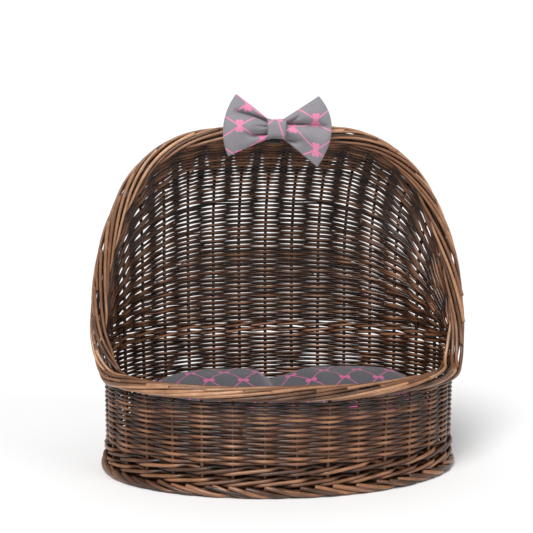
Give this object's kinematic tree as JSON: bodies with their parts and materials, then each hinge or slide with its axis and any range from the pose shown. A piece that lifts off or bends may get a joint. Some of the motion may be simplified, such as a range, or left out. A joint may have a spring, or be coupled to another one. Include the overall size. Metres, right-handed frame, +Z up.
{
  "type": "hooded wicker pet bed",
  "caption": "Oval woven willow pet bed with a half-dome hood over the back, a rolled rim, a loose padded cushion and a fabric bow on the arch.",
  "frame": {"origin": "middle of the underside, centred on the overall outline", "axes": "+Z up, -Y out of the open front, +X along the width to the right as seen from the front"},
  "size_m": [0.5605, 0.3986, 0.5461],
  "materials": {
    "willow": "satin",
    "willow_rim": "satin",
    "cushion_fabric": "matt woven",
    "bow_fabric": "matt woven"
  },
  "bodies": {
    "basket": {"foot_border": "willow", "base_weave_bottom": "willow", "base_weave_top": "willow", "base_stick_1": "willow", "base_stick_2": "willow", "base_stick_3": "willow", "base_stick_4": "willow", "base_stick_5": "willow", "base_stick_6": "willow", "lower_wale_outer": "willow", "lower_wale_inner": "willow", "wall_weave_outer": "willow", "wall_weave_inner": "willow", "mid_wale_outer": "willow", "mid_wale_inner": "willow", "hood_weave_outer": "willow", "hood_weave_inner": "willow", "stake_01": "willow", "stake_02": "willow", "stake_03": "willow", "stake_04": "willow", "stake_05": "willow", "stake_06": "willow", "stake_07": "willow", "stake_08": "willow", "stake_09": "willow", "stake_10": "willow", "stake_11": "willow", "stake_12": "willow", "stake_13": "willow", "stake_14": "willow", "stake_15": "willow", "stake_16": "willow", "stake_17": "willow", "stake_18": "willow", "stake_19": "willow", "stake_20": "willow", "stake_21": "willow", "stake_22": "willow", "stake_23": "willow", "stake_24": "willow", "stake_25": "willow", "stake_26": "willow", "stake_27": "willow", "stake_28": "willow", "stake_29": "willow", "stake_30": "willow", "stake_31": "willow", "stake_32": "willow", "rim_border": "willow_rim", "bow_loop_left": "bow_fabric", "bow_loop_right": "bow_fabric", "bow_knot": "bow_fabric", "bow_strap": "bow_fabric"},
    "cushion": {"cushion": "cushion_fabric"}
  },
  "joints": [
    {"name": "cushion_lift", "type": "slide", "parent": "basket", "child": "cushion", "axis": [0, 0, 1], "range_m": [0, 0.1]}
  ]
}
